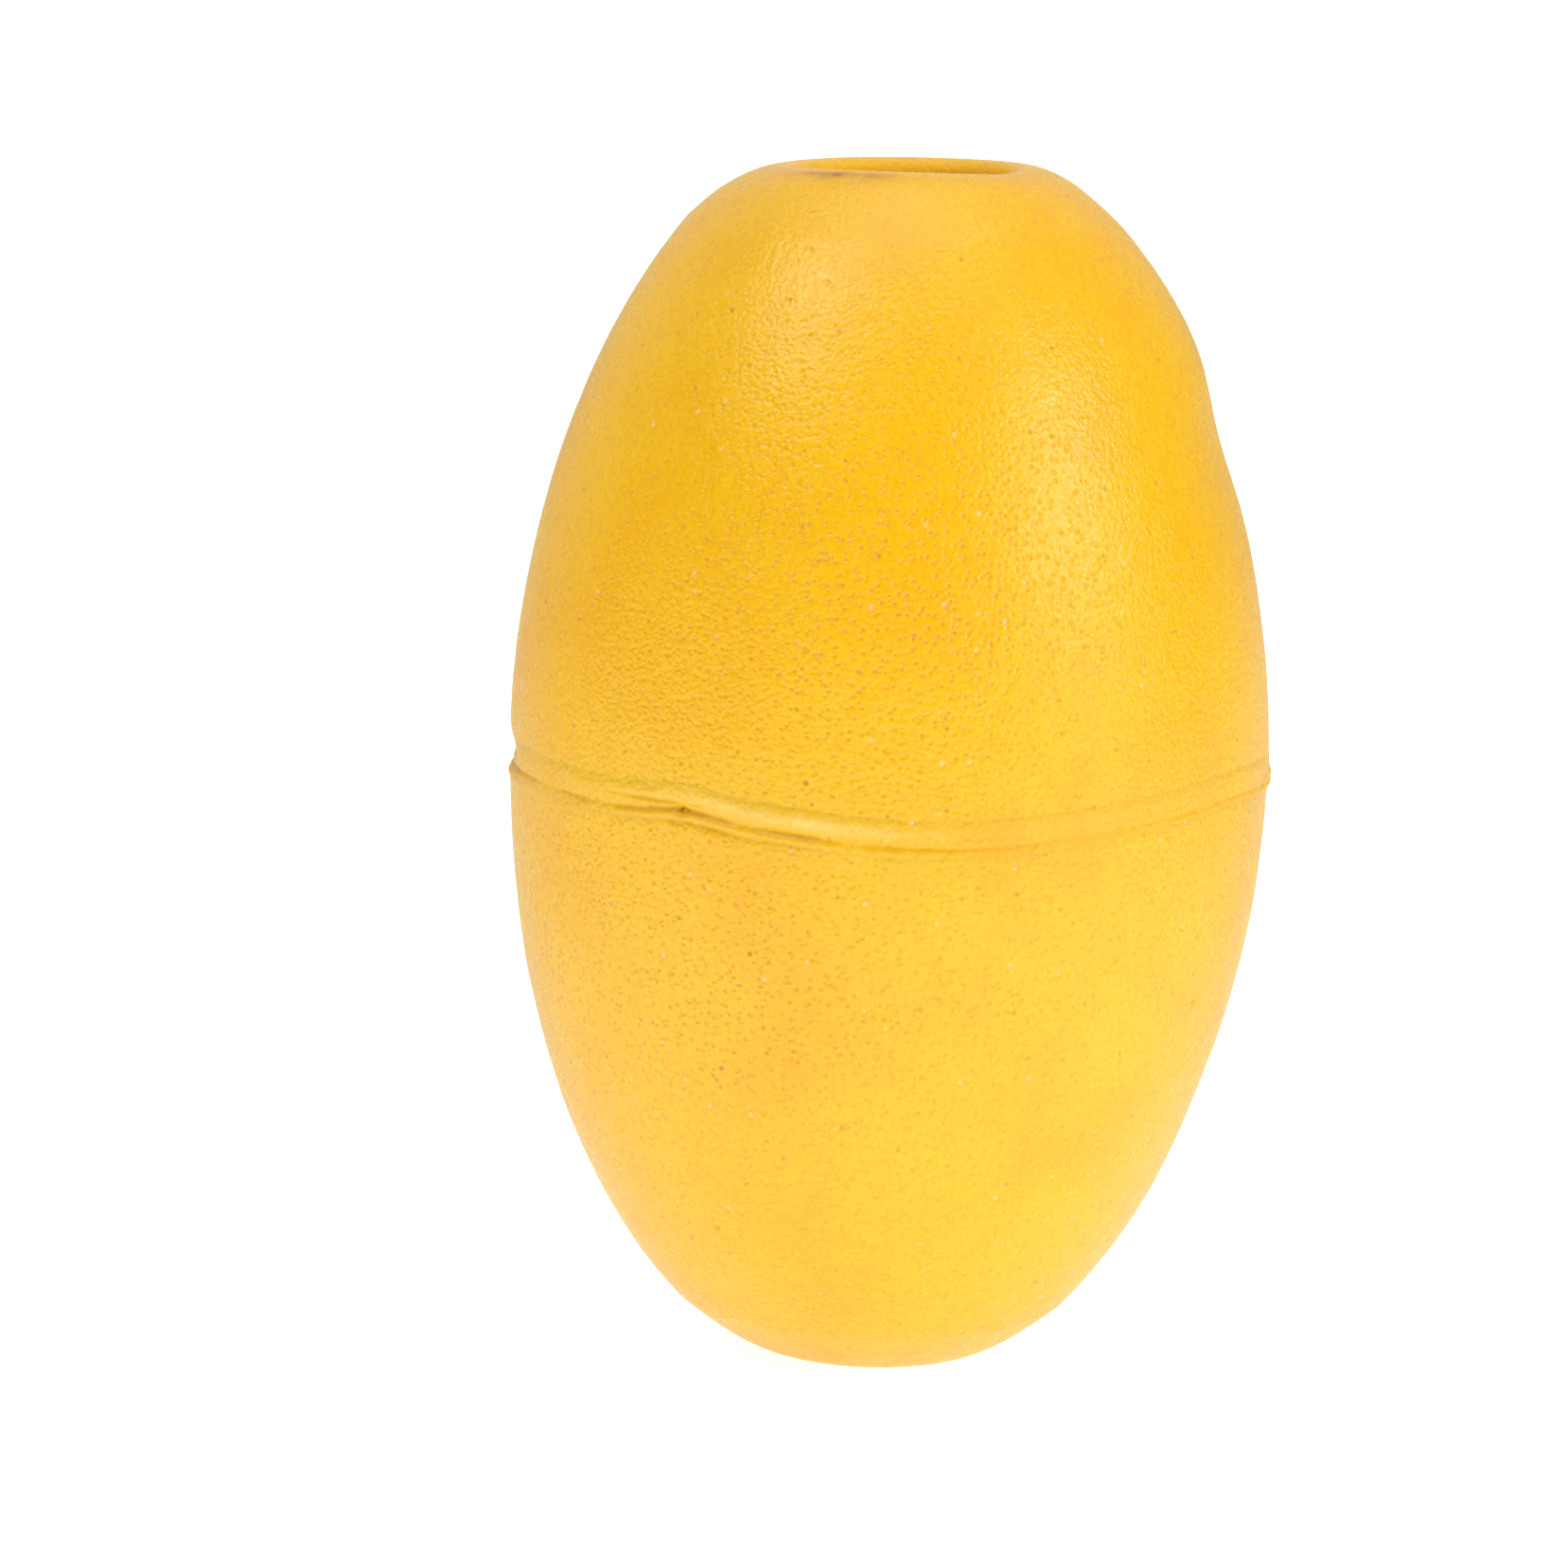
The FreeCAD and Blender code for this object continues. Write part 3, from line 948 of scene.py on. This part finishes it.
@dataclass(frozen=True)
class FoamSkin:
    """Closed-cell foam, moulded against a warm metal mould.

    The skin is satin rather than glossy, because it prints the mould's fine grain; light
    goes a millimetre or two into the foam, which softens its shadows; and cells that burst
    against the mould leave open pits. Sizes and depths are in millimetres.
    """

    name: str
    base: str = "#F1B90C"
    deep: str = "#EFB10A"
    pale: str = "#F3BD10"
    # dim is painted shade laid into the hollows of the grain, which also mottles the tone
    dim: str = "#E2A60C"  # in the hollows of the grain
    speck: str = "#C8730C"
    dim_most: float = 0.4
    cloud_size: float = 14.0
    cloud_roughness: float = 0.6
    cloud_limits: tuple[float, float] = (0.3, 0.72)
    grain_size: float = 0.45
    grain_depth: float = 0.12
    grain_hollow: tuple[float, float] = (0.55, 0.35)  # where the hollows start and are full
    wrinkle_size: float = 0.7
    wrinkle_depth: float = 0.03
    wrinkle_squeeze: tuple[float, float, float] = (0.2, 0.2, 1.0)  # draws them out sideways
    patch_size: float = 1.8
    patch_limits: tuple[float, float] = (0.35, 0.6)
    speck_fade: tuple[float, float] = (0.5, 1.3)  # where it starts and ends, in radii
    roughness: float = 0.29
    roughness_change: tuple[float, float] = (-0.05, 0.06)
    sheen_size: float = 1.5
    sheen_limits: tuple[float, float] = (0.3, 0.7)
    bore_roughening: float = 0.6
    index: float = 1.45
    glow_share: float = 0.2  # of the light that goes into the foam and comes out again
    glow_colour: tuple[float, float, float] = (1.0, 0.45, 0.1)
    glow_depth: float = 1.4
    pits: tuple[Pits, ...] = (
        # The first two sets tint their pits darker: painted shade in the pits. The third set tints
        # its pits pale.
        Pits(spacing=0.62, radius=0.3, depth=0.09, share=1.0, colour="#CE940C", strength=0.45),
        Pits(spacing=1.5, radius=0.3, depth=0.06, share=0.5, colour="#B0760C", strength=0.45),
        Pits(spacing=2.0, radius=0.36, depth=0.1, share=0.6, colour="#FFD998", strength=0.5),
    )
    layers: tuple[Layer, ...] = (
        # In order: painted shade in and below the seam's creases; painted highlight on the crests
        # of the mouth and the weld's upper roll; a brown band just short of the mouth's crest.
        Layer("crease", "#CC8A08", 0.7, 0.35),
        Layer("ridge_highlight", "#FFDD84", 0.55, 0.5),
        Layer("rim_band", "#A24E02", 0.95, 0.35),
    )
    specks: tuple[Speck, ...] = ()

    def material(self, form: Form) -> Material:
        """Builds the material.

        Args:
            form: gives the specks their radius from the axis.

        Returns:
            The finished material.
        """
        material, tree = new_material(self.name)
        place = add_node(tree, "ShaderNodeTexCoord").outputs["Object"]
        colour, height = self.skin(tree, place)
        for pits in self.pits:
            colour, height = self.pitted(tree, place, colour, height, pits)
        colour = self.painted(tree, place, colour)
        colour = self.specked(tree, place, colour, form)
        relief = {"Height": height, "Distance": MM, "Strength": 1.0}
        bump = add_node(tree, "ShaderNodeBump", relief)
        least, most = (self.roughness + change for change in self.roughness_change)
        sheen = noise(tree, place, self.sheen_size, 2.0)
        rough = mapped(tree, sheen, self.sheen_limits, (least, most))
        raw = paint_value(tree, "bore")
        shader = add_node(
            tree,
            "ShaderNodeBsdfPrincipled",
            {
                "Base Color": colour,
                "Roughness": maths(tree, "MULTIPLY_ADD", raw, self.bore_roughening, rough),
                "IOR": self.index,
                "Normal": bump.outputs["Normal"],
                "Subsurface Weight": self.glow_share,
                "Subsurface Radius": self.glow_colour,
                "Subsurface Scale": self.glow_depth * MM,
            },
        )
        add_node(tree, "ShaderNodeOutputMaterial", {"Surface": shader.outputs["BSDF"]})
        return material

    def skin(self, tree: NodeTree, place: NodeSocket) -> tuple[NodeSocket, NodeSocket]:
        """Colour and height of the plain skin: cloudy tone, fine grain, and faint wrinkles.

        Args:
            tree: the material's nodes.
            place: Object coordinates.

        Returns:
            Sockets with the colour, and the height in millimetres.
        """
        cloud = noise(tree, place, self.cloud_size, 3.0, self.cloud_roughness)
        tone = add_node(tree, "ShaderNodeValToRGB", {"Fac": cloud})
        ramp = tone.color_ramp
        ends = (self.deep, self.pale)
        for element, position, shade in zip(ramp.elements, self.cloud_limits, ends):
            element.position, element.color = position, linear(shade)
        ramp.elements.new(0.5).color = linear(self.base)
        grain = noise(tree, place, self.grain_size, 3.0)
        squeeze = {"Vector": place, "Scale": self.wrinkle_squeeze}
        squeezed = add_node(tree, "ShaderNodeMapping", squeeze).outputs[0]
        wrinkle = noise(tree, squeezed, self.wrinkle_size, 2.0)
        low = maths(tree, "MULTIPLY", wrinkle, self.wrinkle_depth)
        height = maths(tree, "MULTIPLY_ADD", grain, self.grain_depth, low)
        # painted shade in the grain's hollows, which also mottles the tone
        hollow = mapped(tree, grain, self.grain_hollow, (0.0, self.dim_most))
        return tinted(tree, hollow, tone.outputs["Color"], self.dim), height

    def pitted(
        self, tree: NodeTree, place: NodeSocket, colour: NodeSocket, height: NodeSocket, pits: Pits
    ) -> tuple[NodeSocket, NodeSocket]:
        """Adds one set of pits to the colour and the height.

        Args:
            tree: the material's nodes.
            place: Object coordinates.
            colour: colour so far.
            height: height so far, in millimetres.
            pits: the set of pits.

        Returns:
            Sockets with the new colour and height.
        """
        scatter = {"Vector": place, "Scale": per_metre(pits.spacing), "Randomness": 1.0}
        cells = add_node(tree, "ShaderNodeTexVoronoi", scatter)
        reach = pits.radius / pits.spacing
        limits = (reach * pits.flat, reach)
        bowl = mapped(tree, cells.outputs["Distance"], limits, (1.0, 0.0), "SMOOTHSTEP")
        pored = paint_value(tree, "pores")
        if pits.share < 1.0:
            lot = add_node(tree, "ShaderNodeSeparateColor", {"Color": cells.outputs["Color"]})
            chance = maths(tree, "MULTIPLY", pored, pits.share)
            pored = maths(tree, "LESS_THAN", lot.outputs["Red"], chance)
        pit = maths(tree, "MULTIPLY", bowl, pored)
        # where the pit colour is darker than the skin, this tint is painted shade in the pit
        share = maths(tree, "MULTIPLY", pit, pits.strength)
        lower = maths(tree, "MULTIPLY_ADD", pit, -pits.depth, height)
        return tinted(tree, share, colour, pits.colour), lower

    def painted(self, tree: NodeTree, place: NodeSocket, colour: NodeSocket) -> NodeSocket:
        """Lays over the colour the painted shade in and below the creases, the painted highlight
        on the crests, and the brown band by the mouth.

        Args:
            tree: the material's nodes.
            place: Object coordinates.
            colour: colour so far.

        Returns:
            Socket with the new colour.
        """
        patch = mapped(tree, noise(tree, place, self.patch_size, 3.0), self.patch_limits)
        for layer in self.layers:
            varied = layer.most * (1.0 - layer.least_share)
            least = layer.most * layer.least_share
            uneven = maths(tree, "MULTIPLY_ADD", patch, varied, least)
            share = maths(tree, "MULTIPLY", paint_value(tree, layer.value), uneven)
            colour = tinted(tree, share, colour, layer.tint)
        return colour

    def specked(
        self, tree: NodeTree, place: NodeSocket, colour: NodeSocket, form: Form
    ) -> NodeSocket:
        """Lays the brown specks over the colour, each as a small ball at its place.

        Args:
            tree: the material's nodes.
            place: Object coordinates.
            colour: colour so far.
            form: gives the specks their radius from the axis.

        Returns:
            Socket with the new colour.
        """
        for speck in self.specks:
            angle, height = np.array(speck.angle), np.array(speck.height)
            point = round_points(angle, form.flank_radius(height), height) * MM
            ends = {0: place, 1: tuple(point)}
            apart = add_node(tree, "ShaderNodeVectorMath", ends, operation="DISTANCE")
            start, end = (speck.radius * fade * MM for fade in self.speck_fade)
            share = mapped(tree, apart.outputs["Value"], (start, end), (speck.strength, 0.0))
            colour = tinted(tree, share, colour, self.speck)
        return colour


# ---------------------------------------------------------------------------------------
# Studio
# ---------------------------------------------------------------------------------------


@dataclass(frozen=True)
class Softbox:
    """A rectangular softbox: where it stands round the float, its size, and its power."""

    name: str
    azimuth: float
    elevation: float
    distance: float
    width: float
    height: float
    watts: float

    def build(self, middle: Vector) -> None:
        """Makes the lamp.

        Args:
            middle: the point that it lights, in metres.
        """
        lamp = bpy.data.lights.new(self.name, "AREA")
        lamp.shape, lamp.size, lamp.size_y = "RECTANGLE", self.width, self.height
        lamp.energy = self.watts
        turn, rise = math.radians(self.azimuth), math.radians(self.elevation)
        way = Vector(
            (math.sin(turn) * math.cos(rise), -math.cos(turn) * math.cos(rise), math.sin(rise))
        )
        holder = bpy.data.objects.new(self.name, lamp)
        holder.matrix_world = Matrix.Translation(middle + way * self.distance) @ (
            way.to_track_quat("Z", "Y").to_matrix().to_4x4()
        )
        bpy.context.scene.collection.objects.link(holder)


@dataclass(frozen=True)
class Studio:
    """Pale floor, white backdrop light, softboxes and the camera."""

    lens: float = 149.04
    sensor: float = 36.0
    nearest: float = 0.01
    distance: float = 0.545
    elevation: float = 10.6
    roll: float = 1.86
    aside: float = 8.61 * MM  # how far right of the frame's middle the float stands
    above: float = 1.89 * MM
    floor_radius: float = 2.5
    floor_sides: int = 96
    floor_gap: float = 0.02 * MM  # between the floor and the base
    floor_colour: str = "#DCDCDC"
    floor_glow: float = 0.92  # the least that the camera sees
    floor_light: tuple[float, float] = (1.16, 0.2)  # what the float gets, in front and behind
    floor_turn: float = 0.1  # the two floor lights change over within this of the middle
    front_glow: float = 0.02
    back_glow: float = 0.72
    glow_turn: tuple[float, float] = (0.15, 1.0)  # cosines from the bright side, dim to bright
    bright_side: tuple[float, float, float] = (-0.15, 0.7, 0.65)
    softboxes: tuple[Softbox, ...] = (
        Softbox("right_softbox", 62, 24, 0.8, 0.38, 0.28, 2.8),
        Softbox("left_softbox", -54, 52, 0.8, 0.24, 0.18, 1.8),
        Softbox("top_softbox", 10, 82, 0.9, 0.8, 0.8, 3.75),
    )

    def build(self, middle: Vector) -> None:
        """Makes the whole studio.

        Args:
            middle: the float's middle, in metres.
        """
        self.build_world()
        self.build_floor()
        for softbox in self.softboxes:
            softbox.build(middle)
        self.build_camera(middle)
        bpy.context.scene.view_settings.view_transform = "Standard"

    def build_world(self) -> None:
        """White for the camera; for light, dim in front and white behind."""
        world = bpy.data.worlds.new("studio")
        world.use_nodes = True
        tree = world.node_tree
        tree.nodes.clear()
        way = add_node(tree, "ShaderNodeTexCoord").outputs["Generated"]
        ways = {0: way, 1: Vector(self.bright_side).normalized()}
        side = add_node(tree, "ShaderNodeVectorMath", ways, operation="DOT_PRODUCT")
        glows = (self.front_glow, self.back_glow)
        glow = mapped(tree, side.outputs["Value"], self.glow_turn, glows, "SMOOTHSTEP")
        ray = add_node(tree, "ShaderNodeLightPath").outputs["Is Camera Ray"]
        light = {"Color": linear("#FFFFFF"), "Strength": maths(tree, "MAXIMUM", glow, ray)}
        background = add_node(tree, "ShaderNodeBackground", light)
        add_node(tree, "ShaderNodeOutputWorld", {"Surface": background.outputs[0]})
        bpy.context.scene.world = world

    def build_floor(self) -> None:
        """A round white floor just under the base, which also glows.

        It glows enough to look white all over. The float gets more of its light from in
        front than from behind, so that its edges mirror a darker floor and keep their colour.
        """
        edge = np.linspace(0.0, 2.0 * math.pi, self.floor_sides, endpoint=False)
        flat = np.zeros_like(edge)
        ring = np.stack([np.cos(edge), np.sin(edge), flat], axis=-1) * self.floor_radius
        mesh = bpy.data.meshes.new("studio_floor")
        corners = (ring - [0.0, 0.0, self.floor_gap]).tolist()
        mesh.from_pydata(corners, [], [list(range(self.floor_sides))])
        floor = bpy.data.objects.new("studio_floor", mesh)
        bpy.context.scene.collection.objects.link(floor)
        material, tree = new_material("matt_white_board")
        matt = add_node(tree, "ShaderNodeBsdfDiffuse", {"Color": linear(self.floor_colour)})
        place = add_node(tree, "ShaderNodeTexCoord").outputs["Object"]
        back = add_node(tree, "ShaderNodeSeparateXYZ", {0: place}).outputs["Y"]
        reach = (-self.floor_turn, self.floor_turn)
        light = mapped(tree, back, reach, self.floor_light, "SMOOTHSTEP")
        ray = add_node(tree, "ShaderNodeLightPath").outputs["Is Camera Ray"]
        seen = maths(tree, "MULTIPLY", ray, self.floor_glow)
        strength = maths(tree, "MAXIMUM", light, seen)
        white = {"Color": linear("#FFFFFF"), "Strength": strength}
        glow = add_node(tree, "ShaderNodeEmission", white)
        both = add_node(tree, "ShaderNodeAddShader", {0: matt.outputs[0], 1: glow.outputs[0]})
        add_node(tree, "ShaderNodeOutputMaterial", {"Surface": both.outputs[0]})
        mesh.materials.append(material)

    def build_camera(self, middle: Vector) -> None:
        """The camera, a little above the float's middle, turned and rolled to frame it.

        Args:
            middle: the float's middle, in metres.
        """
        rise, roll = math.radians(self.elevation), math.radians(self.roll)
        back = Vector((0.0, -math.cos(rise), math.sin(rise)))
        right = Vector((1.0, 0.0, 0.0))
        up = Vector((0.0, math.sin(rise), math.cos(rise)))
        rolled_right = right * math.cos(roll) + up * math.sin(roll)
        rolled_up = up * math.cos(roll) - right * math.sin(roll)
        place = middle + back * self.distance
        target = middle - rolled_right * self.aside - rolled_up * self.above
        z_axis = (place - target).normalized()
        x_axis = rolled_up.cross(z_axis).normalized()
        y_axis = z_axis.cross(x_axis)
        data = bpy.data.cameras.new("camera")
        data.lens, data.sensor_width, data.clip_start = self.lens, self.sensor, self.nearest
        camera = bpy.data.objects.new("camera", data)
        turned = Matrix((x_axis, y_axis, z_axis)).transposed().to_4x4()
        camera.matrix_world = Matrix.Translation(place) @ turned
        bpy.context.scene.collection.objects.link(camera)
        bpy.context.scene.camera = camera


# ---------------------------------------------------------------------------------------
# Assembly
# ---------------------------------------------------------------------------------------


def main() -> None:
    """Builds the float and its studio, in order, and reports each piece."""
    logging.basicConfig(level=logging.INFO, format="%(name)s: %(message)s")
    form = Form.from_frame()
    foam = FoamSkin("moulded_closed_cell_foam", specks=SPECKS).material(form)
    weld = FoamSkin(
        "melted_closed_cell_foam", base="#EFB50A", deep="#ECAD08", pale="#F2BA0E", roughness=0.35
    ).material(form)
    for side in Side:
        half = HalfMoulding(form, side).build()
        half.data.materials.append(foam)
    band = WeldBand(form).build()
    band.data.materials.append(weld)
    low, high = CAD_BOX
    Studio().build((Vector(low) + Vector(high)) / 2.0)


if __name__ == "__main__":
    main()
